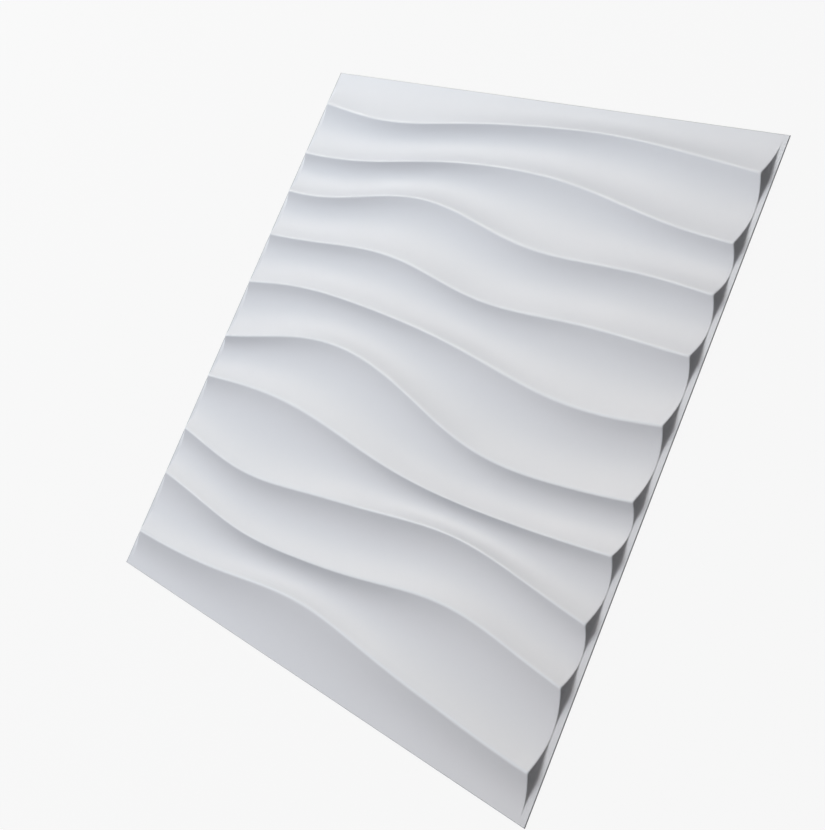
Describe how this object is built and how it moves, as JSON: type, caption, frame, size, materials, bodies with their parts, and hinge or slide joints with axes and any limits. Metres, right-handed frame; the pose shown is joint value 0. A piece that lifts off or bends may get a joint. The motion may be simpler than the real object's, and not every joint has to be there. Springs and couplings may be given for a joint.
{
  "type": "pvc wall panel",
  "caption": "Square vacuum-formed white PVC wall panel with long swaying wave ridges, a flat trimmed flange and a hollow back.",
  "frame": {"origin": "under the middle of the panel, on the plane that the flange's underside lies on", "axes": "+Z out of the wave face; X along the waves; Y across them, +Y towards the edge that the picture shows at the top"},
  "size_m": [0.5, 0.5, 0.0072],
  "materials": {
    "white_pvc": "matt white rigid PVC, smooth from the mould, with soft highlights on the crests"
  },
  "bodies": {
    "root": {"formed_sheet": "white_pvc"}
  },
  "joints": []
}
